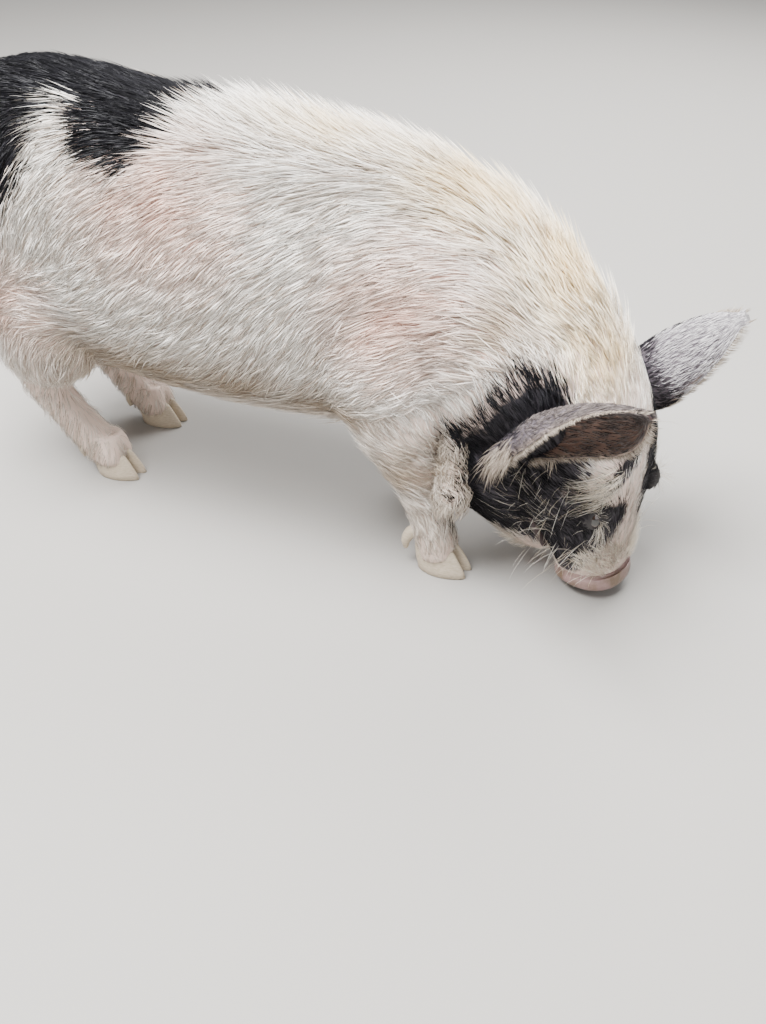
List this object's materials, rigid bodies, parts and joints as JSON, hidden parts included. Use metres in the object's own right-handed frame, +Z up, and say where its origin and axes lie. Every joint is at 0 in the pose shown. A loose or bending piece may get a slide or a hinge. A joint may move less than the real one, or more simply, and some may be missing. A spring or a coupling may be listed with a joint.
{
  "type": "kunekune pig",
  "caption": "Young kunekune pig standing with its head down to feed, cream bristly coat with black rump and face, a still life-size model.",
  "frame": {"origin": "on the floor under the middle of the box round the pig", "axes": "+X the way the trunk points, from tail to head; +Y the pig's left; +Z up"},
  "size_m": [0.7968, 0.2772, 0.4118],
  "materials": {
    "coat": "cream bristles over pink skin",
    "dark_coat": "black bristles over dark skin",
    "ear": "grey skin under thin pale hair",
    "snout": "moist pink skin",
    "hoof": "pale horn",
    "eye": "wet, dark brown"
  },
  "bodies": {
    "root": {"ear_left": "ear", "ear_right": "ear", "eye_left": "eye", "eye_right": "eye", "foreleg_left": "coat", "foreleg_left_claw_left": "hoof", "foreleg_left_claw_right": "hoof", "foreleg_left_dewclaw_left": "hoof", "foreleg_left_dewclaw_right": "hoof", "foreleg_right": "coat", "foreleg_right_claw_left": "hoof", "foreleg_right_claw_right": "hoof", "foreleg_right_dewclaw_left": "hoof", "foreleg_right_dewclaw_right": "hoof", "head": "dark_coat", "hind_leg_left": "coat", "hind_leg_left_claw_left": "hoof", "hind_leg_left_claw_right": "hoof", "hind_leg_left_dewclaw_left": "hoof", "hind_leg_left_dewclaw_right": "hoof", "hind_leg_right": "coat", "hind_leg_right_claw_left": "hoof", "hind_leg_right_claw_right": "hoof", "hind_leg_right_dewclaw_left": "hoof", "hind_leg_right_dewclaw_right": "hoof", "neck": "coat", "snout": "snout", "tail": "coat", "torso": "coat", "wattle_left": "coat", "wattle_right": "coat"}
  },
  "joints": []
}
